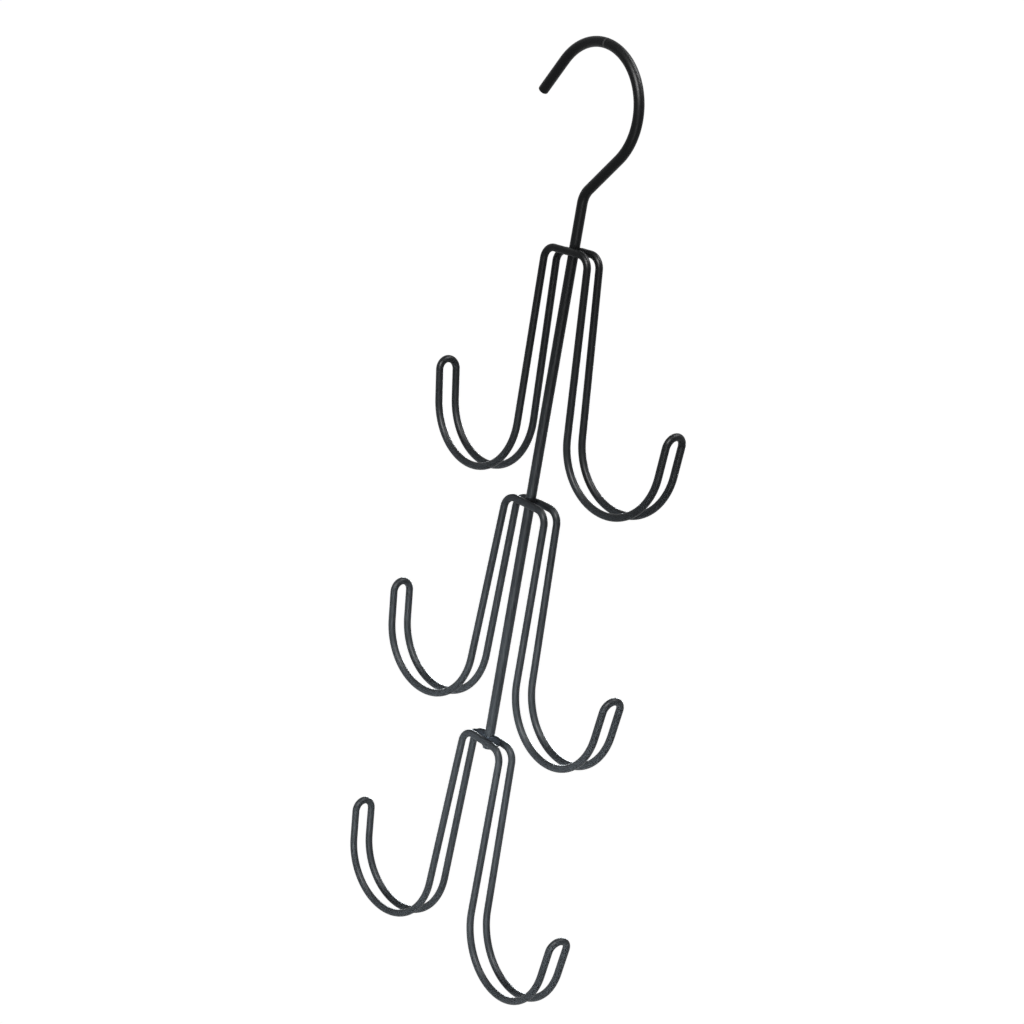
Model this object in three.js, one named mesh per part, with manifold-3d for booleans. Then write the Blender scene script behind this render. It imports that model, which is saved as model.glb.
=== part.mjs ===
// Handbag hanger: a hooked steel rod with three double-hook wire loops welded across it.
// Millimetres, +Z up. The origin is the point inside the top hook where a round rail bears.
// X runs along the bag hooks, and the front of the hanger faces -Y.

import * as THREE from 'three';
import { mergeVertices } from 'three/addons/utils/BufferGeometryUtils.js';
import Module from 'manifold-3d';

const wasm = await Module();
wasm.setup();

// Wire stock, measured over the coating.
const ROD_DIAMETER = 4.8;
const WIRE_DIAMETER = 3.4;

// Top hook, along the rod's centreline from the top bar upwards.
const NECK_LENGTH = 23;
const NECK_BEND_RADIUS = 11;
const NECK_LEAN = 42;
const NECK_RUN = 24;
const HOOK_RADIUS = 30;
const HOOK_SWEEP = 188;
const HOOK_TAIL = 20.5;

// Rod below the top bar.
const TIER_SPACING = 125;
const ROD_FOOT = 4;
const END_CHAMFER = 0.7;

// One loop, along its wire's centreline from the bar outwards.
const SHOULDER_WIDTH = 30;
const CORNER_RADIUS = 6.5;
const LEG_LENGTH = 80.5;
const LEG_SPLAY = 1.9;
const BOWL_RADIUS = 30.5;
const BOWL_SWEEP = 170;
const TIP_LENGTH = 14.5;

// Distance between the front and the back wire of a loop, which spread towards the tip.
const FOOT_SPREAD = 10.2;
const TIP_SPREAD = 10.6;

// Cross welds: how far each bar is pressed into the rod, and how far the weld's toe stands out.
const WELD_SET_DOWN = 0.2;
const WELD_TOE = 1.2;
const WELD_DEPTH = 2;
const SEAT_CLEARANCE = 0.3;

// The loops are bent and welded on by hand, so each is a little off true: turned about the rod,
// leaned in its own plane and shifted along its bar, with both hooks folded to the back or the front.
const TIERS = [
  { name: 'top', twist: 0.5, lean: -3.5, shift: -0.75, fold: 1.75 },
  { name: 'middle', twist: 0, lean: 0.75, shift: 1.75, fold: -2 },
  { name: 'bottom', twist: -1.25, lean: 1.5, shift: 0.25, fold: -3.25 },
];

// Facets.
const BEND_STEP = 9;
const CORNER_STEP = 18;
const TIP_STEP = 22.5;
const WIRE_SIDES = 10;
const ROD_SIDES = 14;
const WELD_SEGMENTS = 20;
const WELD_RINGS = 10;
const CUTTER_SIDES = 28;

// Worked out from the sizes above.
const RADIANS = Math.PI / 180;
const RIGHT_ANGLE = Math.PI / 2;
const UP = new THREE.Vector3(0, 0, 1);
const ROD_RADIUS = ROD_DIAMETER / 2;
const WIRE_RADIUS = WIRE_DIAMETER / 2;
const BAR_OFFSET = ROD_RADIUS + WIRE_RADIUS - WELD_SET_DOWN;
const BAR_HALF = SHOULDER_WIDTH / 2 - CORNER_RADIUS;
const ROD_LENGTH = TIER_SPACING * (TIERS.length - 1) + ROD_FOOT + NECK_LENGTH;

const BLACK_COAT = { color: 0x2b2e31, roughness: 0.5, metalness: 0.1 };
const WELD_COAT = { color: 0x26292c, roughness: 0.55, metalness: 0.1 };

// A wire's centreline in one plane, laid down move by move as a wire bender makes it:
// straights and bends, with a station at the end of each straight and along each bend.
class BenderLine {
  constructor(x, y, heading) {
    this.end = new THREE.Vector2(x, y);
    this.heading = heading;
    this.stations = [this.end.clone()];
  }

  direction(turn = 0) {
    return new THREE.Vector2(Math.cos(this.heading + turn), Math.sin(this.heading + turn));
  }

  straight(length) {
    this.end.addScaledVector(this.direction(), length);
    this.stations.push(this.end.clone());
    return this;
  }

  // A positive angle bends to the left of the heading.
  bend(radius, angle, step) {
    const side = Math.sign(angle);
    const steps = Math.ceil(Math.abs(angle) / (step * RADIANS));
    const centre = this.end.clone().addScaledVector(this.direction(side * RIGHT_ANGLE), radius);
    const start = this.end.clone();
    for (let i = 1; i <= steps; i++) {
      this.stations.push(start.clone().rotateAround(centre, angle * i / steps));
    }
    this.end.copy(this.stations.at(-1));
    this.heading += angle;
    return this;
  }
}

// A curve that runs through stations, one step from each to the next.
class StationCurve extends THREE.Curve {
  constructor(stations, closed) {
    super();
    this.stations = stations;
    this.closed = closed;
    this.steps = closed ? stations.length : stations.length - 1;
  }

  station(index) {
    const count = this.stations.length;
    const place = this.closed ? (index + count) % count : THREE.MathUtils.clamp(index, 0, count - 1);
    return this.stations[place];
  }

  getPoint(t, target = new THREE.Vector3()) {
    return target.copy(this.station(Math.round(t * this.steps)));
  }

  getPointAt(u, target) {
    return this.getPoint(u, target);
  }

  getTangentAt(u, target = new THREE.Vector3()) {
    const index = Math.round(u * this.steps);
    return target.subVectors(this.station(index + 1), this.station(index - 1)).normalize();
  }
}

function toSolid(geometry) {
  const bare = geometry.clone();
  bare.deleteAttribute('normal');
  bare.deleteAttribute('uv');
  const merged = mergeVertices(bare);
  return new wasm.Manifold(new wasm.Mesh({
    numProp: 3,
    vertProperties: merged.attributes.position.array,
    triVerts: merged.index.array,
  }));
}

function toGeometry(solid) {
  const { vertProperties, triVerts } = solid.getMesh();
  const geometry = new THREE.BufferGeometry();
  geometry.setAttribute('position', new THREE.BufferAttribute(vertProperties, 3));
  geometry.setIndex(new THREE.BufferAttribute(triVerts, 1));
  geometry.computeVertexNormals();
  return geometry;
}

function cut(geometry, cutters) {
  let solid = toSolid(geometry);
  for (const cutter of cutters) solid = solid.subtract(toSolid(cutter));
  return toGeometry(solid);
}

function namedMesh(name, geometry, coat) {
  const mesh = new THREE.Mesh(geometry, new THREE.MeshStandardMaterial(coat));
  mesh.name = name;
  return mesh;
}

// The rod's centreline in the XZ plane, from its foot up to the start of the hook's arc,
// with the top bar at z = 0.
function shankLine() {
  return new BenderLine(0, NECK_LENGTH - ROD_LENGTH, RIGHT_ANGLE)
    .straight(ROD_LENGTH)
    .bend(NECK_BEND_RADIUS, -NECK_LEAN * RADIANS, BEND_STEP)
    .straight(NECK_RUN);
}

// Where the rail bears: the highest point of the hook's arc, on the inside of the rod.
function railSeat() {
  const shank = shankLine();
  const centre = shank.end.addScaledVector(shank.direction(RIGHT_ANGLE), HOOK_RADIUS);
  return new THREE.Vector3(centre.x, 0, centre.y + HOOK_RADIUS - ROD_RADIUS);
}

// A ring that takes the sharp edge off a cut end, for an end at the origin that faces +Y.
function endTrim() {
  const profile = [
    new THREE.Vector2(ROD_RADIUS - 2 * END_CHAMFER, END_CHAMFER),
    new THREE.Vector2(ROD_RADIUS + END_CHAMFER, -2 * END_CHAMFER),
    new THREE.Vector2(ROD_RADIUS + END_CHAMFER, END_CHAMFER),
  ];
  return new THREE.LatheGeometry([...profile, profile[0]], CUTTER_SIDES);
}

function hookRod() {
  const line = shankLine()
    .bend(HOOK_RADIUS, HOOK_SWEEP * RADIANS, BEND_STEP)
    .straight(HOOK_TAIL);
  const stations = line.stations.map((p) => new THREE.Vector3(p.x, 0, p.y));
  const path = new StationCurve(stations, false);
  const section = new THREE.Shape().absarc(0, 0, ROD_RADIUS, 0, 2 * Math.PI);
  const rod = new THREE.ExtrudeGeometry(section, {
    steps: path.steps,
    curveSegments: ROD_SIDES / 2,
    extrudePath: path,
  });
  const tip = endTrim()
    .rotateX(RIGHT_ANGLE)
    .rotateY(RIGHT_ANGLE - line.heading)
    .translate(line.end.x, 0, line.end.y);
  const foot = endTrim()
    .rotateX(-RIGHT_ANGLE)
    .translate(0, 0, stations[0].z);
  return cut(rod, [tip, foot]);
}

// A quarter of a loop: the front wire from the end of the bar to the middle of the right tip.
function quarterStations() {
  const line = new BenderLine(BAR_HALF, 0, 0)
    .bend(CORNER_RADIUS, LEG_SPLAY * RADIANS - RIGHT_ANGLE, CORNER_STEP)
    .straight(LEG_LENGTH);
  const foot = line.stations.length - 1;
  line.bend(BOWL_RADIUS, BOWL_SWEEP * RADIANS, BEND_STEP).straight(TIP_LENGTH);
  const along = [0];
  for (let i = 1; i < line.stations.length; i++) {
    along.push(along[i - 1] + line.stations[i].distanceTo(line.stations[i - 1]));
  }
  const stations = line.stations.map((p, i) => {
    const offset = i <= foot
      ? THREE.MathUtils.mapLinear(along[i], 0, along[foot], BAR_OFFSET, FOOT_SPREAD / 2)
      : THREE.MathUtils.mapLinear(along[i], along[foot], along.at(-1), FOOT_SPREAD / 2, TIP_SPREAD / 2);
    return new THREE.Vector3(p.x, -offset, p.y);
  });
  const steps = Math.ceil(RIGHT_ANGLE / (TIP_STEP * RADIANS));
  const outwards = line.direction();
  for (let i = 1; i <= steps; i++) {
    const angle = RIGHT_ANGLE * i / steps;
    const reach = TIP_SPREAD / 2 * Math.sin(angle);
    const side = -TIP_SPREAD / 2 * Math.cos(angle);
    stations.push(new THREE.Vector3(line.end.x + outwards.x * reach, side, line.end.y + outwards.y * reach));
  }
  return stations;
}

// The closed wire of one loop: its quarter is mirrored to the back, folded about the end of the bar,
// to the back where fold is positive, and mirrored to the left.
function loopWire(fold) {
  const quarter = quarterStations();
  const flip = (x, y) => (p) => new THREE.Vector3(p.x * x, p.y * y, p.z);
  const hinge = new THREE.Vector3(BAR_HALF, 0, 0);
  const turn = (p) => p.clone().sub(hinge).applyAxisAngle(UP, fold * RADIANS).add(hinge);
  const right = [...quarter, ...quarter.slice(0, -1).reverse().map(flip(1, -1))].map(turn);
  const stations = [...right, ...right.map(flip(-1, 1)).reverse()];
  const path = new StationCurve(stations, true);
  return new THREE.TubeGeometry(path, path.steps, WIRE_RADIUS, WIRE_SIDES, true);
}

// Round stock swollen by the seat clearance, along Z, for cutting what sits against the rod or a bar.
function swollen(radius, length) {
  const outer = radius + SEAT_CLEARANCE;
  return new THREE.CylinderGeometry(outer, outer, length, CUTTER_SIDES).rotateX(RIGHT_ANGLE);
}

// The weld at one crossing: a lens of weld metal round the place where the bar meets the rod,
// hollowed by both of them, so that it lies in the four corners of the crossing.
function crossWeld(side, crossing, rodCutter) {
  const lens = new THREE.SphereGeometry(1, WELD_SEGMENTS, WELD_RINGS)
    .scale(ROD_RADIUS + WELD_TOE, WELD_DEPTH, WIRE_RADIUS + WELD_TOE)
    .translate(crossing.x, side * (ROD_RADIUS - WELD_SET_DOWN / 2), 0);
  const bar = swollen(WIRE_RADIUS, SHOULDER_WIDTH)
    .rotateY(RIGHT_ANGLE)
    .translate(0, side * BAR_OFFSET, 0);
  return cut(lens, [rodCutter, bar]);
}

function tierGroup(tier, level) {
  const group = new THREE.Group();
  group.position.set(tier.shift, 0, -TIER_SPACING * level);
  group.rotation.set(0, tier.lean * RADIANS, tier.twist * RADIANS);
  group.updateMatrix();
  const toTier = group.matrix.clone().invert();
  const crossing = new THREE.Vector3(0, 0, group.position.z).applyMatrix4(toTier);
  const rodCutter = swollen(ROD_RADIUS, TIER_SPACING)
    .translate(0, 0, group.position.z)
    .applyMatrix4(toTier);
  group.add(namedMesh(`${tier.name}_loop`, cut(loopWire(tier.fold), [rodCutter]), BLACK_COAT));
  group.add(namedMesh(`${tier.name}_front_weld`, crossWeld(-1, crossing, rodCutter), WELD_COAT));
  group.add(namedMesh(`${tier.name}_back_weld`, crossWeld(1, crossing, rodCutter), WELD_COAT));
  return group;
}

const hanger = new THREE.Group();
hanger.position.copy(railSeat()).negate();
hanger.add(namedMesh('hook_rod', hookRod(), BLACK_COAT));
TIERS.forEach((tier, level) => hanger.add(tierGroup(tier, level)));

export default hanger;
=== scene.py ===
"""Dresses a wire handbag hanger: smooth bent wires, weld fillets, a powder coat and a studio stage.

Lengths are metres, +Z is up, and the origin is the point inside the top hook where a rail bears.
"""

import math
from typing import NamedTuple

import bmesh
import bpy
from bpy.props import FloatProperty, FloatVectorProperty, PointerProperty
from bpy.types import Operator, Panel, PropertyGroup
from mathutils import Matrix, Vector


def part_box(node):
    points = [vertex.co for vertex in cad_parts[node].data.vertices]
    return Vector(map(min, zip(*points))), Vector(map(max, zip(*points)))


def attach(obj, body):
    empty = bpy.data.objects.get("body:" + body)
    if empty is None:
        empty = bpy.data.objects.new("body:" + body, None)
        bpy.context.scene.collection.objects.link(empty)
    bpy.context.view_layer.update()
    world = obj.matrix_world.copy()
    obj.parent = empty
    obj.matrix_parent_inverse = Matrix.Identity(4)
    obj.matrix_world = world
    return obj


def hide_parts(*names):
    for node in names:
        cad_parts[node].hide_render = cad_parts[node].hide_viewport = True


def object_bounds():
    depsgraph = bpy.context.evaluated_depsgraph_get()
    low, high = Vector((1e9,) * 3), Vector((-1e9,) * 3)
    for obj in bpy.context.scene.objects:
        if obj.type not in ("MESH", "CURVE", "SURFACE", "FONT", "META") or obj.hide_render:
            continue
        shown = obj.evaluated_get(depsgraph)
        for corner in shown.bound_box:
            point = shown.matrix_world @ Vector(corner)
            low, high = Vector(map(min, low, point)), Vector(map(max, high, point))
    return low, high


bl_info = {
    "name": "Handbag Hanger",
    "version": (1, 0, 0),
    "blender": (4, 5, 0),
    "location": "View3D > Sidebar > Hanger",
    "description": "Bends, welds and coats a wire handbag hanger round its fixed frame",
    "category": "Add Mesh",
}

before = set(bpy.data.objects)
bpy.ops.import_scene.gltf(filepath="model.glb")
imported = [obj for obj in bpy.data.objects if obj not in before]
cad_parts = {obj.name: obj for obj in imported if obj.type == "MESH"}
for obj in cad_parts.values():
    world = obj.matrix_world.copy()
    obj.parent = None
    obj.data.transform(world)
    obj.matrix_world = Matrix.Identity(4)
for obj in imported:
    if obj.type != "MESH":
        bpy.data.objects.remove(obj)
CAD_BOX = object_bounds()

BODY = "root"
MM = 0.001
RIGHT_ANGLE = math.pi / 2
MERGE = 0.001 * MM


class Tier(NamedTuple):
    """A loop's small set angles, in degrees, and its shift along the bar, in millimetres.

    fold is how far its hooks are bent to the back, or to the front where it is negative.
    sag is how much lower its left back corner came out of the bending, in millimetres.
    """

    name: str
    twist: float
    lean: float
    shift: float
    fold: float
    sag: float


TIERS = (
    Tier("top", twist=0.5, lean=-3.5, shift=-0.75, fold=1.75, sag=1.5),
    Tier("middle", twist=0.0, lean=0.75, shift=1.75, fold=-2.0, sag=0.7),
    Tier("bottom", twist=-1.25, lean=1.5, shift=0.25, fold=-3.25, sag=0.4),
)
# The way along Y from the rod to each of a loop's bars.
SIDES = {"front": -1, "back": 1}

# How finely the wires and the welds are drawn.
ROD_SIDES = 40
WIRE_SIDES = 32
WELD_SIDES = 48
BEND_STEP = math.radians(3)
TIP_STEPS = 12
BAR_STEPS = 8
END_STEPS = 5
BLOB_SUBDIVISIONS = 4
SHARP_ANGLE = math.radians(40)

# How far a wire's box may lie off that of the CAD node that it stands for.
FIT_TOLERANCE = 0.5 * MM

# A low corner's sag: where along the bar it begins and is full, as shares of half the shoulder
# width, and how far down the leg it reaches.
SAG_START = -0.2
SAG_END = 0.6
SAG_REACH = 30 * MM

# The smoothing that draws a weld's fillet. Its weight in the corner is cut off at 1, and it falls
# to 0 at the toe.
SMOOTHING_ROUNDS = 130
SMOOTHING_FACTOR = 0.5
CORNER_WEIGHT = 1.2

# The weld whose metal ran off. POOL_GRIP is how far the pool reaches past the middle of a bar, as
# a share of the wire. The drops have their place from the rod's foot and their size, both as
# multiples of the drop's radius.
POOL_NODE = "bottom_front_weld"
POOL_GRIP = 0.25
DROPS = (
    ((0.1, -0.5, 0.7), 1.0),
    ((-0.9, -1.0, 0.6), 0.6),
)

# The coat's texture: sizes in metres, strengths as shares, and ranges of a noise from 0 to 1.
# GRAIN_SHARE is the grain's share of the orange peel's size and height.
FINE_DETAIL = 3.0
NOISE_MEAN = 0.5
FLOW_SIZE = 18 * MM
FLOW_ROUGHNESS = 0.16
THIN_RANGE = (0.4, 0.7)
GRAIN_SHARE = 0.25
GRAIN_ROUGHNESS = 0.12
SPECK_RANGE = (0.62, 0.78)
SPECK_STRENGTH = 0.35
WELD_WAVE = 0.9 * MM
WELD_DEPTH = 0.03 * MM
WELD_GLOSS = 0.0

# The painted highlight line: a pale line painted across the top of the hook, like the lit edge
# of a sleeve. How far it wanders, and where its full tone ends and it is gone, as shares of its
# width.
HIGHLIGHT_WANDER = 0.4
HIGHLIGHT_WANDER_SIZE = 2 * MM
HIGHLIGHT_CORE = 0.2
HIGHLIGHT_EDGE = 0.5
HIGHLIGHT_ROUGHNESS = 0.2

# Sockets of a Mix node that mixes colours.
MIX_FACTOR = 0
MIX_FIRST = 6
MIX_SECOND = 7
MIX_COLOUR = 2

# The stage. LOWER_TIERS is how far down the hanger the lamps of the lower tiers aim, as a share.
SENSOR_WIDTH = 36.0
FLOOR_HALF = 40.0
FLOOR_COLOUR = (0.8, 0.8, 0.8)
FLOOR_GLOW = 0.95
LOWER_TIERS = 0.8
WHITE = (1.0, 1.0, 1.0)


class Lamp(NamedTuple):
    """A soft lamp: its face, and where it stands from what it faces, in metres and degrees.

    spread is how wide its light fans out. A gleam lamp only shows in the coat's reflections.
    """

    name: str
    width: float
    height: float
    bearing: float
    rise: float
    distance: float
    spread: float = 180.0
    gleam: bool = False


LAMPS = (
    Lamp("key", 0.4, 0.4, bearing=32, rise=43, distance=1.27, gleam=True),
    Lamp("rim", 0.5, 0.5, bearing=150, rise=60, distance=1.0, gleam=True),
    Lamp("low", 0.4, 0.4, bearing=54, rise=-12, distance=1.27, gleam=True),
    Lamp("front", 0.3, 0.24, bearing=32, rise=-10, distance=0.5, spread=40),
    Lamp("left", 0.3, 0.24, bearing=-15, rise=35, distance=0.5, spread=40),
    Lamp("right", 0.3, 0.24, bearing=140, rise=35, distance=0.5, spread=40),
    Lamp("back", 0.3, 0.24, bearing=-140, rise=0, distance=0.5, spread=40),
)


def length(name, millimetres, description):
    """A length that a user may change, with its default in millimetres."""
    return FloatProperty(name=name, description=description, default=millimetres * MM,
                         min=0.0, precision=5, subtype="DISTANCE", unit="LENGTH")


def angle(name, degrees, description):
    """An angle that a user may change, with its default in degrees."""
    return FloatProperty(name=name, description=description, default=math.radians(degrees),
                         subtype="ANGLE", unit="ROTATION")


def share(name, default, description):
    """A number from 0 to 1 that a user may change."""
    return FloatProperty(name=name, description=description, default=default,
                         min=0.0, max=1.0, subtype="FACTOR")


def colour(name, default, description):
    """A colour that a user may change, as linear red, green and blue."""
    return FloatVectorProperty(name=name, description=description, default=default,
                               min=0.0, max=1.0, size=3, subtype="COLOR")


def power(name, watts, description):
    """A lamp's power that a user may change."""
    return FloatProperty(name=name, description=description, default=watts,
                         min=0.0, subtype="POWER", unit="POWER")


class RodSizes(PropertyGroup):
    """The thick wire that carries the loops and ends in the rail hook."""

    diameter: length("Diameter", 4.8, "Rod stock over its coat")
    neck_length: length("Neck length", 23, "Straight rod above the top bar")
    neck_bend: length("Neck bend", 11, "Radius of the bend between the rod and the neck")
    neck_lean: angle("Neck lean", 42, "How far the neck leans away from the rod")
    neck_run: length("Neck run", 24, "Straight stretch between the neck bend and the hook")
    hook_radius: length("Hook radius", 30, "Radius of the hook at the middle of the wire")
    hook_sweep: angle("Hook sweep", 188, "How far the hook's arc turns")
    hook_tail: length("Hook tail", 20.5, "Straight end of the hook")
    foot: length("Foot", 4, "Rod below the middle of the bottom bar")
    foot_shear: angle("Foot shear", 9, "Slant that the shears left on the rod's foot")
    end_round: length("End rounding", 0.7, "Rounding of the cut ends under the coat")


class LoopSizes(PropertyGroup):
    """The thinner closed wire that makes a left and a right bag hook."""

    diameter: length("Diameter", 3.4, "Loop stock over its coat")
    spacing: length("Tier spacing", 125, "From one tier's bar to the next")
    shoulder_width: length("Shoulder width", 30, "Width across the legs at the bar")
    corner_radius: length("Corner radius", 6.5, "Bend between the bar and a leg")
    leg_length: length("Leg length", 80.5, "Straight leg between the corner and the bowl")
    leg_splay: angle("Leg splay", 1.9, "How far a leg leans outwards")
    bowl_radius: length("Bowl radius", 30.5, "Radius of the bag hook's bowl")
    bowl_sweep: angle("Bowl sweep", 170, "How far the bowl turns")
    tip_length: length("Tip length", 14.5, "Straight wire between the bowl and the tip")
    foot_spread: length("Foot spread", 10.2, "Front to back wire at the foot of a leg")
    tip_spread: length("Tip spread", 10.6, "Front to back wire at the tip")
    set_down: length("Set-down", 0.2, "How far a bar is pressed into the rod")


class WeldSizes(PropertyGroup):
    """The weld metal and pooled coat in the corners where a bar crosses the rod."""

    toe: length("Toe", 2.6, "How far the fillet runs out along each wire")
    cover: length("Cover", 0.12, "How far the weld's ends stay under the wires' surfaces")
    drop: length("Drop", 1.7, "Radius of the drop of weld metal under the rod's foot")
    pool: length("Pool", 8.4, "How far the weld metal runs out between the bottom bars")
    pool_depth: length("Pool depth", 2.45, "Half the thickness of the metal between the bars")
    pool_shift: length("Pool shift", 2.6, "How far that metal lies to the left of the rod")
    grain: length("Grain", 0.2, "Size of the facets that the fillet is drawn from")
    lump: length("Lump height", 0.2, "Unevenness of the weld")
    lump_size: length("Lump size", 1.3, "Distance between the weld's lumps")


class CoatLook(PropertyGroup):
    """The satin black powder coat."""

    base: colour("Base colour", (0.036, 0.039, 0.0422), "The coat's colour")
    thin: colour("Thin colour", (0.0284, 0.031, 0.0336), "The coat where it has run thin")
    # The welds' coat is dull, and is painted lighter than the coat to stand in for the light that
    # the weld corners and the pool between the bottom bars miss in their shade.
    weld: colour("Weld colour", (0.098, 0.110, 0.128), "The dull coat over the welds")
    dust: colour("Dust colour", (0.060, 0.063, 0.066), "Specks of over-spray")
    mark: colour("Painted highlight colour", (0.5, 0.505, 0.51), "Pale line painted across the hook's top as a highlight")
    # Colour of the painted highlight: a pale line painted across the hook's top, like the lit edge
    # of a sleeve.
    build: length("Build", 0.15, "How far the coat stands out past the frame's wire")
    roughness: share("Roughness", 0.40, "Mean roughness of the coat")
    gloss: share("Gloss", 0.08, "Strength of the coat's reflection")
    peel_depth: length("Peel depth", 0.05, "Height of the coat's orange peel")
    peel_size: length("Peel size", 1.5, "Distance between the waves of the orange peel")
    # Where and how wide the painted highlight line lies on the hook.
    highlight_angle: angle("Painted highlight angle", 2.8, "Place of the mark past the hook's highest point")
    highlight_width: length("Painted highlight width", 1.3, "Width of the painted highlight line")


class StageLook(PropertyGroup):
    """The camera, the lamps and the floor."""

    lens: FloatProperty(name="Lens", description="Focal length on a 36 mm wide sensor",
                        default=94.194, min=1.0, subtype="DISTANCE_CAMERA", unit="CAMERA")
    eye: FloatVectorProperty(name="Eye", description="Where the camera stands",
                             default=(0.9005, -0.86481, 0.14353), subtype="XYZ", unit="LENGTH")
    azimuth: angle("Azimuth", 46.412, "The camera's bearing, from the front towards the right")
    elevation: angle("Elevation", 16.573, "How steeply the camera looks down")
    roll: angle("Roll", 9.779, "How far the camera is turned about its own axis")
    floor_drop: length("Floor drop", 1700, "From the rail seat down to the floor")
    ambient: share("Ambient", 0.08, "Light that comes evenly from all sides")
    tint: colour("Tint", (0.885, 0.955, 1.0), "Colour of the lamps beside the lower tiers")
    key: power("Key lamp", 62.0, "High lamp that gleams in the bends")
    rim: power("Rim lamp", 16.0, "High lamp behind the hanger that gleams along its edges")
    low: power("Low lamp", 7.0, "Lamp near the camera that gleams along the wires")
    front: power("Front lamp", 0.42, "Lamp in front of the lower tiers")
    left: power("Left lamp", 0.12, "Lamp to the left of the lower tiers")
    right: power("Right lamp", 0.05, "Lamp to the right of the lower tiers")
    back: power("Back lamp", 0.42, "Lamp behind the lower tiers")


class HangerSettings(PropertyGroup):
    """All sizes and looks of the hanger."""

    rod: PointerProperty(type=RodSizes)
    loop: PointerProperty(type=LoopSizes)
    weld: PointerProperty(type=WeldSizes)
    coat: PointerProperty(type=CoatLook)
    stage: PointerProperty(type=StageLook)


class Socket:
    """An output of a node tree that takes part in Python arithmetic by adding Math nodes."""

    def __init__(self, sketch, output):
        self.sketch = sketch
        self.output = output

    def math(self, operation, *values):
        """Adds a Math node."""
        return self.sketch.node("ShaderNodeMath", {"operation": operation}, dict(enumerate(values)))

    def __add__(self, other):
        return self.math("ADD", self, other)

    def __radd__(self, other):
        return self.math("ADD", other, self)

    def __sub__(self, other):
        return self.math("SUBTRACT", self, other)

    def __rsub__(self, other):
        return self.math("SUBTRACT", other, self)

    def __mul__(self, other):
        return self.math("MULTIPLY", self, other)

    def __rmul__(self, other):
        return self.math("MULTIPLY", other, self)

    def __abs__(self):
        return self.math("ABSOLUTE", self)


class NodeSketch:
    """A node tree that is written down as expressions."""

    def __init__(self, tree):
        self.tree = tree
        self.tree.nodes.clear()

    def node(self, kind, settings=None, inputs=None, output=0):
        """Adds a node, sets it up, feeds its sockets and gives back one of its outputs."""
        node = self.tree.nodes.new(kind)
        for name, value in (settings or {}).items():
            setattr(node, name, value)
        for name, value in (inputs or {}).items():
            if isinstance(value, Socket):
                self.tree.links.new(value.output, node.inputs[name])
            else:
                node.inputs[name].default_value = value
        return Socket(self, node.outputs[output]) if node.outputs else None

    def noise(self, place, size, detail=2.0):
        """Noise whose waves are about size apart, from 0 to 1."""
        return self.node("ShaderNodeTexNoise", None,
                         {"Vector": place, "Scale": 1 / size, "Detail": detail})

    def step(self, value, low, high):
        """0 below low, 1 above high, and smooth between them."""
        return self.node("ShaderNodeMapRange", {"interpolation_type": "SMOOTHSTEP"},
                         {"Value": value, "From Min": low, "From Max": high})

    def blend(self, factor, first, second):
        """A mix of two colours."""
        return self.node("ShaderNodeMix", {"data_type": "RGBA"},
                         {MIX_FACTOR: factor, MIX_FIRST: first, MIX_SECOND: second},
                         output=MIX_COLOUR)

    def surface(self, shader):
        """Ends the tree in a material's surface."""
        self.node("ShaderNodeOutputMaterial", None, {"Surface": shader})


def opaque(rgb):
    """A colour with full alpha, as a socket takes it."""
    return (*rgb, 1.0)


def powder_coat(name, look, base, gloss, wave, depth, highlight_line_centre=None):
    """Satin powder coat: slow changes of tone, orange peel, grain and, on the rod, a painted
    highlight line.
    """
    material = bpy.data.materials.new(name)
    material.use_nodes = True
    sketch = NodeSketch(material.node_tree)
    place = sketch.node("ShaderNodeTexCoord", output="Object")
    flow = sketch.noise(place, FLOW_SIZE, FINE_DETAIL)
    peel = sketch.noise(place, wave)
    grain = sketch.noise(place, wave * GRAIN_SHARE, FINE_DETAIL)
    tone = sketch.blend(sketch.step(flow, *THIN_RANGE), opaque(base), opaque(look.thin))
    specks = sketch.step(grain, *SPECK_RANGE) * SPECK_STRENGTH
    tone = sketch.blend(specks, tone, opaque(look.dust))
    roughness = (look.roughness + (flow - NOISE_MEAN) * FLOW_ROUGHNESS
                 + (grain - NOISE_MEAN) * GRAIN_ROUGHNESS)
    # The painted highlight: a pale line across the hook's top, lighter and rougher than the coat.
    if highlight_line_centre is not None:
        mark = painted_highlight_line(sketch, place, look, highlight_line_centre)
        tone = sketch.blend(mark, tone, opaque(look.mark))
        roughness = roughness + mark * HIGHLIGHT_ROUGHNESS
    height = peel * (1 - GRAIN_SHARE) + grain * GRAIN_SHARE
    normal = sketch.node("ShaderNodeBump", None,
                         {"Strength": 1.0, "Distance": depth, "Height": height})
    sketch.surface(sketch.node("ShaderNodeBsdfPrincipled", None, {
        "Base Color": tone,
        "Roughness": roughness,
        "Specular IOR Level": gloss,
        "Normal": normal,
    }))
    return material


def painted_highlight_line(sketch, place, look, centre):
    """A painted highlight, a pale line across the top of the hook, as a mask from 0 to 1."""
    x = sketch.node("ShaderNodeSeparateXYZ", None, {0: place}, output="X")
    z = sketch.node("ShaderNodeSeparateXYZ", None, {0: place}, output="Z")
    right = x - centre.x
    up = z - centre.z
    along = right * math.cos(look.highlight_angle) - up * math.sin(look.highlight_angle)
    above = right * math.sin(look.highlight_angle) + up * math.cos(look.highlight_angle)
    width = look.highlight_width
    wander = (sketch.noise(place, HIGHLIGHT_WANDER_SIZE) - NOISE_MEAN) * (HIGHLIGHT_WANDER * width)
    line = 1 - sketch.step(abs(along + wander), HIGHLIGHT_CORE * width, HIGHLIGHT_EDGE * width)
    return line * sketch.step(above, 0.0, width)


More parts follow.
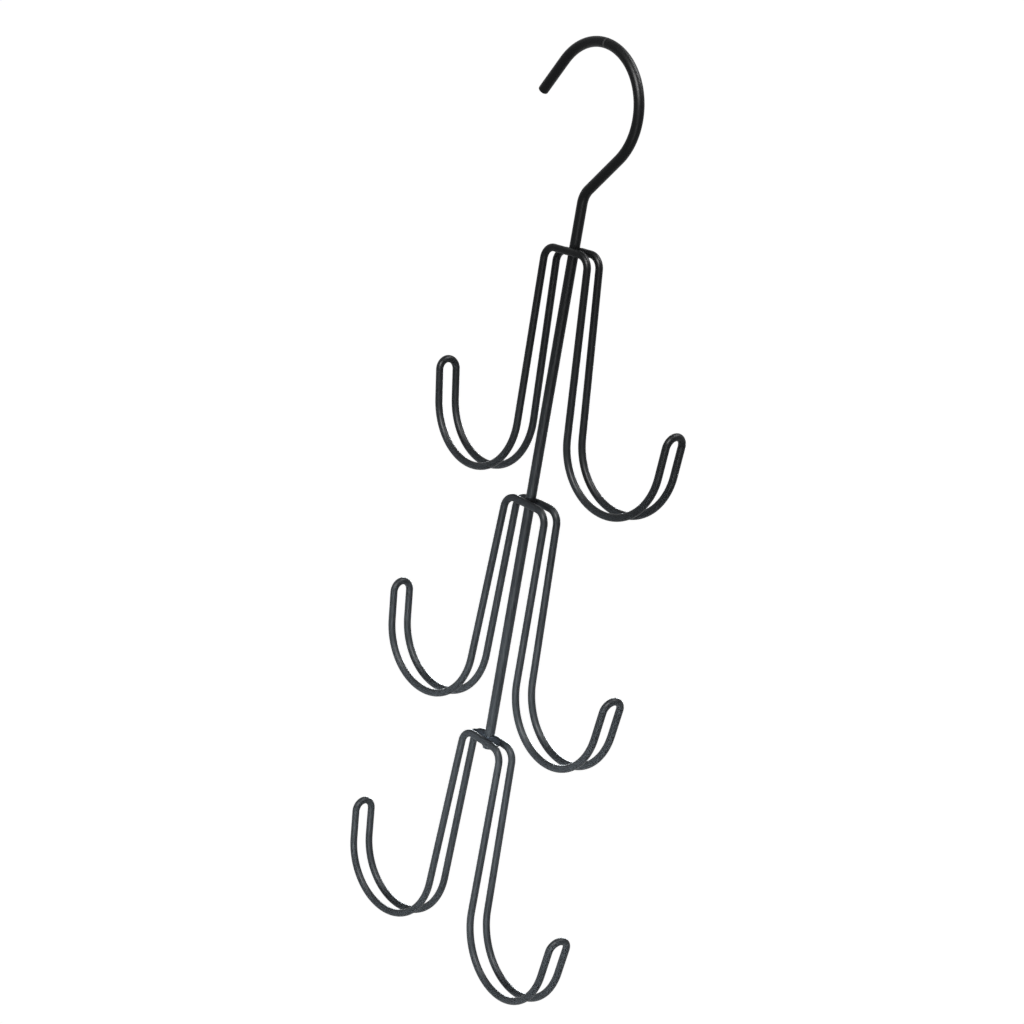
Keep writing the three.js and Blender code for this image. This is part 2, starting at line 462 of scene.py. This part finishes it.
class WireBender:
    """A wire in the making. It is fed on and bent in the XZ plane, as a bending machine does it.

    drift is how far the wire moves along Y for each metre that is fed.
    """

    def __init__(self, start, heading, radius, sides):
        self.bm = bmesh.new()
        self.point = Vector(start)
        self.heading = heading
        self.drift = 0.0
        turn = self.direction().to_track_quat("Z", "Y").to_matrix().to_4x4()
        bmesh.ops.create_circle(self.bm, segments=sides, radius=radius,
                                matrix=Matrix.Translation(self.point) @ turn)
        self.start_ring = self.bm.edges[:]
        self.ring = self.start_ring

    def direction(self, turn=0.0):
        """The way that the wire heads, or would head after a turn to the left."""
        return Vector((math.cos(self.heading + turn), 0.0, math.sin(self.heading + turn)))

    def feed(self, run):
        """Pushes the wire straight on."""
        step = self.direction() * run
        step.y = self.drift * run
        made = bmesh.ops.extrude_edge_only(self.bm, edges=self.ring)["geom"]
        front = [v for v in made if isinstance(v, bmesh.types.BMVert)]
        bmesh.ops.translate(self.bm, verts=front, vec=step)
        self.ring = [e for e in made if isinstance(e, bmesh.types.BMEdge) and e.is_boundary]
        self.point = self.point + step

    def bend(self, radius, turn):
        """Bends the wire to the left of its heading, or to the right for a negative turn."""
        side = math.copysign(1.0, turn)
        centre = self.point + self.direction(side * RIGHT_ANGLE) * radius
        steps = math.ceil(abs(turn) / BEND_STEP)
        sideways = self.drift * radius * abs(turn)
        self.spin(centre, (0.0, -side, 0.0), abs(turn), steps, sideways)
        self.heading += turn
        self.point = centre + self.direction(-side * RIGHT_ANGLE) * radius
        self.point.y += sideways

    def curl(self):
        """Turns the end of a front wire a quarter round, so that it meets the XZ plane square."""
        centre = Vector((self.point.x, 0.0, self.point.z))
        axis = self.direction().cross(Vector((0.0, 1.0, 0.0)))
        self.spin(centre, axis, RIGHT_ANGLE, TIP_STEPS, 0.0)

    def spin(self, centre, axis, turn, steps, sideways):
        """Sweeps the wire's open end round an axis, while it moves sideways along Y."""
        made = bmesh.ops.spin(self.bm, geom=self.ring, cent=centre, axis=axis, angle=turn,
                              steps=steps, dvec=(0.0, sideways / steps, 0.0))
        self.ring = [e for e in made["geom_last"] if isinstance(e, bmesh.types.BMEdge)]


def close_mesh(bm):
    """Merges what lies together and turns all faces outwards."""
    bmesh.ops.remove_doubles(bm, verts=bm.verts[:], dist=MERGE)
    bmesh.ops.recalc_face_normals(bm, faces=bm.faces[:])


def add_piece(name, bm, material, node):
    """Makes an object of a finished bmesh, to stand for a CAD node."""
    mesh = bpy.data.meshes.new(name)
    bm.to_mesh(mesh)
    bm.free()
    mesh.shade_smooth()
    mesh.set_sharp_from_angle(angle=SHARP_ANGLE)
    mesh.materials.append(material)
    piece = bpy.data.objects.new(name, mesh)
    bpy.context.scene.collection.objects.link(piece)
    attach(piece, BODY)
    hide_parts(node)
    return piece


def check_fit(piece, node):
    """Stops the script if a piece's box isn't that of the CAD node that it stands for."""
    for axis in range(3):
        low, high = (side[axis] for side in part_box(node))
        places = [corner[axis] for corner in piece.bound_box]
        off = max(abs(min(places) - low), abs(max(places) - high))
        if off > FIT_TOLERANCE:
            raise ValueError(f"{piece.name} is {off / MM:.2f} mm off {node} along axis {axis}")


def hook_centre(rod):
    """Centre of the hook's arc, straight below the rail seat, which is the origin."""
    return Vector((0.0, 0.0, rod.diameter / 2 - rod.hook_radius))


def rod_axis(rod):
    """Where the rod's axis meets the middle of the top bar, worked back from the hook."""
    lean = rod.neck_lean
    across = rod.neck_bend * (1 - math.cos(lean)) + rod.neck_run * math.sin(lean)
    upwards = rod.neck_length + rod.neck_bend * math.sin(lean) + rod.neck_run * math.cos(lean)
    to_centre = Vector((across - rod.hook_radius * math.cos(lean), 0.0,
                        upwards + rod.hook_radius * math.sin(lean)))
    return hook_centre(rod) - to_centre


def tier_matrix(settings, level):
    """Turns and moves a loop from its own frame, with the bar on X, to its place on the rod."""
    tier = TIERS[level]
    place = rod_axis(settings.rod) + Vector((tier.shift * MM, 0.0, -settings.loop.spacing * level))
    return (Matrix.Translation(place)
            @ Matrix.Rotation(math.radians(tier.lean), 4, "Y")
            @ Matrix.Rotation(math.radians(tier.twist), 4, "Z"))


def bar_offset(settings):
    """From the rod's axis to the middle of a bar that is pressed into it."""
    return (settings.rod.diameter + settings.loop.diameter) / 2 - settings.loop.set_down


def rod_foot(settings):
    """The lower end of the rod's axis."""
    below = settings.loop.spacing * (len(TIERS) - 1) + settings.rod.foot
    return rod_axis(settings.rod) - Vector((0.0, 0.0, below))


def bend_rod(settings):
    """The hook rod, from its sheared foot to the tip of its hook."""
    rod = settings.rod
    foot = rod_foot(settings)
    wire = WireBender(foot, RIGHT_ANGLE, rod.diameter / 2 + settings.coat.build, ROD_SIDES)
    wire.feed(rod_axis(rod).z - foot.z + rod.neck_length)
    wire.bend(rod.neck_bend, -rod.neck_lean)
    wire.feed(rod.neck_run)
    wire.bend(rod.hook_radius, rod.hook_sweep)
    wire.feed(rod.hook_tail)
    shear = Matrix.Rotation(rod.foot_shear, 3, "Y")
    foot_ring = list({v for e in wire.start_ring for v in e.verts})
    bmesh.ops.rotate(wire.bm, cent=foot, matrix=shear, verts=foot_ring)
    ends = wire.start_ring + wire.ring
    bmesh.ops.holes_fill(wire.bm, edges=ends)
    bmesh.ops.recalc_face_normals(wire.bm, faces=wire.bm.faces[:])
    bmesh.ops.bevel(wire.bm, geom=ends, offset=rod.end_round, offset_type="OFFSET", affect="EDGES",
                    segments=END_STEPS, profile=0.5, material=-1)
    return wire.bm


def mirror(bm, axis):
    """Adds the mirror image of all that there is."""
    whole = bm.verts[:] + bm.edges[:] + bm.faces[:]
    bmesh.ops.mirror(bm, geom=whole, matrix=Matrix.Identity(4), merge_dist=MERGE, axis=axis)


def ease(value, start, end):
    """0 before start, 1 after end, and smooth between them."""
    way = max(0.0, min(1.0, (value - start) / (end - start)))
    return way * way * (3 - 2 * way)


def sagged(settings, tier, point):
    """Where a point in a loop's own frame comes to lie when the left back corner sags."""
    half = settings.loop.shoulder_width / 2
    part = (ease(-point.x, SAG_START * half, SAG_END * half)
            * ease(point.y, 0.0, bar_offset(settings) / 2)
            * ease(point.z, -SAG_REACH, 0.0))
    return point - Vector((0.0, 0.0, tier.sag * MM * part))


def bend_loop(settings, tier):
    """One closed loop in its own frame.

    A quarter is bent, mirrored to the back, folded and mirrored to the left, and a corner sags.
    """
    loop = settings.loop
    bar = loop.shoulder_width / 2 - loop.corner_radius
    offset = bar_offset(settings)
    corner = RIGHT_ANGLE - loop.leg_splay
    wire = WireBender((0.0, -offset, 0.0), 0.0, loop.diameter / 2 + settings.coat.build, WIRE_SIDES)
    for _ in range(BAR_STEPS):
        wire.feed(bar / BAR_STEPS)
    wire.drift = (offset - loop.foot_spread / 2) / (loop.corner_radius * corner + loop.leg_length)
    wire.bend(loop.corner_radius, -corner)
    wire.feed(loop.leg_length)
    wire.drift = (loop.foot_spread - loop.tip_spread) / 2
    wire.drift /= loop.bowl_radius * loop.bowl_sweep + loop.tip_length
    wire.bend(loop.bowl_radius, loop.bowl_sweep)
    wire.feed(loop.tip_length)
    wire.curl()
    mirror(wire.bm, "Y")
    fold = Matrix.Rotation(math.radians(tier.fold), 3, "Z")
    hook = [v for v in wire.bm.verts if v.co.x > bar / 2]
    bmesh.ops.rotate(wire.bm, cent=(bar, 0.0, 0.0), matrix=fold, verts=hook)
    mirror(wire.bm, "X")
    close_mesh(wire.bm)
    for vertex in wire.bm.verts:
        vertex.co = sagged(settings, tier, vertex.co)
    return wire.bm


class Stub(NamedTuple):
    """A short straight stretch of wire: where its middle is, how it lies and how thick it is."""

    place: Matrix
    radius: float

    def depth(self, point):
        """How far a point lies outside the wire's surface."""
        axis = self.place.to_3x3() @ Vector((0.0, 0.0, 1.0))
        return (point - self.place.translation).cross(axis).length - self.radius


class Blob(NamedTuple):
    """A lump of weld metal: its middle and its half sizes."""

    middle: Vector
    half: Vector

    def depth(self, point):
        """About how far a point lies outside the lump."""
        away = point - self.middle
        return (Vector([a / h for a, h in zip(away, self.half)]).length - 1) * min(self.half)


def foot_blobs(settings):
    """What ran down under the rod's foot, and what filled the gap between the bottom bars."""
    weld = settings.weld
    foot = rod_foot(settings)
    ball = Vector((1.0, 1.0, 1.0)) * weld.drop
    drops = [Blob(foot + Vector(place) * weld.drop, ball * size) for place, size in DROPS]
    pool = Blob(
        middle=foot + Vector((-weld.pool_shift, 0.0, settings.rod.foot)),
        half=Vector((
            settings.rod.diameter / 2 + weld.pool,
            bar_offset(settings) + settings.loop.diameter * POOL_GRIP,
            weld.pool_depth,
        )),
    )
    return [*drops, pool]


def crossing_stubs(settings, level, side):
    """The rod and a bar where they cross, as two stubs."""
    matrix = tier_matrix(settings, level)
    crossing = rod_axis(settings.rod) - Vector((0.0, 0.0, settings.loop.spacing * level))
    across = matrix.inverted() @ crossing
    bar = (Matrix.Translation((across.x, side * bar_offset(settings), 0.0))
           @ Matrix.Rotation(RIGHT_ANGLE, 4, "Y"))
    build = settings.coat.build
    return (Stub(Matrix.Translation(crossing), settings.rod.diameter / 2 + build),
            Stub(matrix @ bar, settings.loop.diameter / 2 + build))


def lay_weld(weld, stubs, blobs):
    """Core of a weld: both stubs just under the wires' surfaces, and the metal that ran off."""
    bm = bmesh.new()
    for stub, other in zip(stubs, reversed(stubs)):
        radius = stub.radius - weld.cover
        bmesh.ops.create_cone(bm, cap_ends=True, segments=WELD_SIDES,
                              radius1=radius, radius2=radius,
                              depth=2 * (other.radius + weld.toe), matrix=stub.place)
    for blob in blobs:
        shape = Matrix.Translation(blob.middle) @ Matrix.Diagonal((*blob.half, 1.0))
        bmesh.ops.create_icosphere(bm, subdivisions=BLOB_SUBDIVISIONS, radius=1.0, matrix=shape)
    return bm


def bake(piece):
    """Keeps what a piece's modifiers make of it as its mesh."""
    bpy.context.view_layer.update()
    rough = piece.data
    finished = piece.evaluated_get(bpy.context.evaluated_depsgraph_get())
    piece.data = bpy.data.meshes.new_from_object(finished)
    piece.modifiers.clear()
    bpy.data.meshes.remove(rough)
    piece.data.name = piece.name


def dress_weld(piece, weld, stubs, blobs):
    """Fuses the core, draws the fillet into its corners, and roughens it there."""
    fuse = piece.modifiers.new("Fuse", "REMESH")
    fuse.mode = "VOXEL"
    fuse.voxel_size = weld.grain
    bake(piece)
    corner = piece.vertex_groups.new(name="corner")
    for vertex in piece.data.vertices:
        out = max(stub.depth(vertex.co) for stub in stubs)
        out = min([out] + [blob.depth(vertex.co) for blob in blobs])
        weight = CORNER_WEIGHT - CORNER_WEIGHT * out / weld.toe
        corner.add([vertex.index], max(0.0, min(1.0, weight)), "REPLACE")
    draw = piece.modifiers.new("Draw", "SMOOTH")
    draw.vertex_group = corner.name
    draw.factor = SMOOTHING_FACTOR
    draw.iterations = SMOOTHING_ROUNDS
    lumps = piece.modifiers.new("Lumps", "DISPLACE")
    lumps.vertex_group = corner.name
    lumps.texture = bpy.data.textures.new(f"{piece.name}_lumps", "CLOUDS")
    lumps.texture.noise_scale = weld.lump_size
    lumps.texture_coords = "LOCAL"
    lumps.strength = weld.lump
    bake(piece)
    piece.vertex_groups.clear()
    piece.data.shade_smooth()


def sag_weld(piece, settings, level):
    """Lowers a finished weld where its bar sags."""
    place = tier_matrix(settings, level)
    back = place.inverted()
    for vertex in piece.data.vertices:
        vertex.co = place @ sagged(settings, TIERS[level], back @ vertex.co)


class HANGER_OT_hook_rod(Operator):
    """Bend and coat the hook rod"""

    bl_idname = "hanger.hook_rod"
    bl_label = "Hook Rod"

    def execute(self, context):
        settings = context.scene.hanger
        look = settings.coat
        # The rod's coat carries the painted highlight line across the top of the hook.
        coat = powder_coat("rod_powder_coat", look, look.base, look.gloss,
                           look.peel_size, look.peel_depth, hook_centre(settings.rod))
        piece = add_piece("coated_hook_rod", bend_rod(settings), coat, "hook_rod")
        check_fit(piece, "hook_rod")
        return {"FINISHED"}


class HANGER_OT_loops(Operator):
    """Bend and coat the loops"""

    bl_idname = "hanger.loops"
    bl_label = "Bag Hook Loops"

    def execute(self, context):
        settings = context.scene.hanger
        look = settings.coat
        coat = powder_coat("loop_powder_coat", look, look.base, look.gloss,
                           look.peel_size, look.peel_depth)
        for level, tier in enumerate(TIERS):
            node = f"{tier.name}_loop"
            bm = bend_loop(settings, tier)
            bmesh.ops.transform(bm, matrix=tier_matrix(settings, level), verts=bm.verts[:])
            piece = add_piece(f"coated_{node}", bm, coat, node)
            check_fit(piece, node)
        return {"FINISHED"}


class HANGER_OT_welds(Operator):
    """Lay the welds between the bars and the rod"""

    bl_idname = "hanger.welds"
    bl_label = "Cross Welds"

    def execute(self, context):
        settings = context.scene.hanger
        look = settings.coat
        # The welds' coat has no gloss, and its colour is painted lighter to stand in for the light
        # and sheen that the shaded weld corners miss.
        coat = powder_coat("weld_powder_coat", look, look.weld, WELD_GLOSS, WELD_WAVE, WELD_DEPTH)
        for level, tier in enumerate(TIERS):
            for name, side in SIDES.items():
                node = f"{tier.name}_{name}_weld"
                stubs = crossing_stubs(settings, level, side)
                blobs = foot_blobs(settings) if node == POOL_NODE else []
                core = lay_weld(settings.weld, stubs, blobs)
                piece = add_piece(f"{node}_fillet", core, coat, node)
                dress_weld(piece, settings.weld, stubs, blobs)
                sag_weld(piece, settings, level)
        return {"FINISHED"}


def hang_lamp(lamp, watts, tint, target):
    """Puts a soft lamp in its place, turned towards its target."""
    light = bpy.data.lights.new(f"{lamp.name}_lamp", "AREA")
    light.shape = "RECTANGLE"
    light.size = lamp.width
    light.size_y = lamp.height
    light.spread = math.radians(lamp.spread)
    light.energy = watts
    light.color = tint
    stand = bpy.data.objects.new(light.name, light)
    bearing = math.radians(lamp.bearing)
    rise = math.radians(lamp.rise)
    away = Vector((math.sin(bearing) * math.cos(rise),
                   -math.cos(bearing) * math.cos(rise),
                   math.sin(rise)))
    stand.location = target + away * lamp.distance
    stand.rotation_euler = away.to_track_quat("Z", "Y").to_euler()
    stand.visible_camera = False
    stand.visible_diffuse = not lamp.gleam
    bpy.context.scene.collection.objects.link(stand)


def set_camera(stage):
    """The camera at the photograph's place, bearing and roll."""
    camera = bpy.data.cameras.new("camera")
    camera.lens = stage.lens
    camera.sensor_width = SENSOR_WIDTH
    stand = bpy.data.objects.new("camera", camera)
    stand.matrix_world = (Matrix.Translation(stage.eye)
                          @ Matrix.Rotation(stage.azimuth, 4, "Z")
                          @ Matrix.Rotation(RIGHT_ANGLE - stage.elevation, 4, "X")
                          @ Matrix.Rotation(stage.roll, 4, "Z"))
    bpy.context.scene.collection.objects.link(stand)
    bpy.context.scene.camera = stand


def seen_directly(sketch):
    """1 for rays that show a background as it is: from the camera, or by way of metal or glass."""
    camera, glossy, transmission = (
        sketch.node("ShaderNodeLightPath", output=f"Is {kind} Ray")
        for kind in ("Camera", "Glossy", "Transmission"))
    return camera + glossy + transmission


def set_world(stage):
    """White to look at, and a weak even light on the hanger."""
    world = bpy.data.worlds.new("studio")
    world.use_nodes = True
    sketch = NodeSketch(world.node_tree)
    strength = stage.ambient + seen_directly(sketch) * (1 - stage.ambient)
    glow = sketch.node("ShaderNodeBackground", None,
                       {"Color": opaque(WHITE), "Strength": strength})
    sketch.node("ShaderNodeOutputWorld", None, {"Surface": glow})
    bpy.context.scene.world = world


def lay_floor(stage):
    """A pale floor that shows white, and greyer where the hanger shades it."""
    bm = bmesh.new()
    bmesh.ops.create_grid(bm, x_segments=1, y_segments=1, size=FLOOR_HALF,
                          matrix=Matrix.Translation((0.0, 0.0, -stage.floor_drop)))
    mesh = bpy.data.meshes.new("floor")
    bm.to_mesh(mesh)
    bm.free()
    material = bpy.data.materials.new("floor_paper")
    material.use_nodes = True
    sketch = NodeSketch(material.node_tree)
    paper = sketch.node("ShaderNodeBsdfDiffuse", None, {"Color": opaque(FLOOR_COLOUR)})
    glow = sketch.node("ShaderNodeEmission", None,
                       {"Strength": seen_directly(sketch) * FLOOR_GLOW})
    sketch.surface(sketch.node("ShaderNodeAddShader", None, {0: paper, 1: glow}))
    mesh.materials.append(material)
    floor = bpy.data.objects.new("floor", mesh)
    bpy.context.scene.collection.objects.link(floor)


class HANGER_OT_stage(Operator):
    """Set the camera, the lamps, the backdrop and the floor"""

    bl_idname = "hanger.stage"
    bl_label = "Studio Stage"

    def execute(self, context):
        stage = context.scene.hanger.stage
        low, high = CAD_BOX
        middle = (low + high) / 2
        lower = Vector((0.0, 0.0, LOWER_TIERS * low.z))
        set_camera(stage)
        set_world(stage)
        lay_floor(stage)
        for lamp in LAMPS:
            tint, target = (WHITE, middle) if lamp.gleam else (stage.tint, lower)
            hang_lamp(lamp, getattr(stage, lamp.name), tint, target)
        context.scene.view_settings.view_transform = "Standard"
        return {"FINISHED"}


def list_values(box, group):
    """Shows all that a user may change in a group."""
    for name in group.__annotations__:
        box.prop(group, name)


class HANGER_PT_panel(Panel):
    """Lists what the hanger is made of"""

    bl_idname = "HANGER_PT_panel"
    bl_label = "Handbag Hanger"
    bl_space_type = "VIEW_3D"
    bl_region_type = "UI"
    bl_category = "Hanger"

    def draw(self, context):
        settings = context.scene.hanger
        steps = (
            (HANGER_OT_hook_rod, settings.rod),
            (HANGER_OT_loops, settings.loop),
            (HANGER_OT_welds, settings.weld),
            (HANGER_OT_stage, settings.stage),
        )
        for operator, group in steps:
            box = self.layout.box()
            box.operator(operator.bl_idname)
            list_values(box, group)
        box = self.layout.box()
        box.label(text="Powder Coat")
        list_values(box, settings.coat)


CLASSES = (
    RodSizes,
    LoopSizes,
    WeldSizes,
    CoatLook,
    StageLook,
    HangerSettings,
    HANGER_OT_hook_rod,
    HANGER_OT_loops,
    HANGER_OT_welds,
    HANGER_OT_stage,
    HANGER_PT_panel,
)


def register():
    for cls in CLASSES:
        bpy.utils.register_class(cls)
    bpy.types.Scene.hanger = PointerProperty(type=HangerSettings)


def unregister():
    del bpy.types.Scene.hanger
    for cls in reversed(CLASSES):
        bpy.utils.unregister_class(cls)


def main():
    register()
    bpy.ops.hanger.stage()
    bpy.ops.hanger.hook_rod()
    bpy.ops.hanger.loops()
    bpy.ops.hanger.welds()


if __name__ == "__main__":
    main()
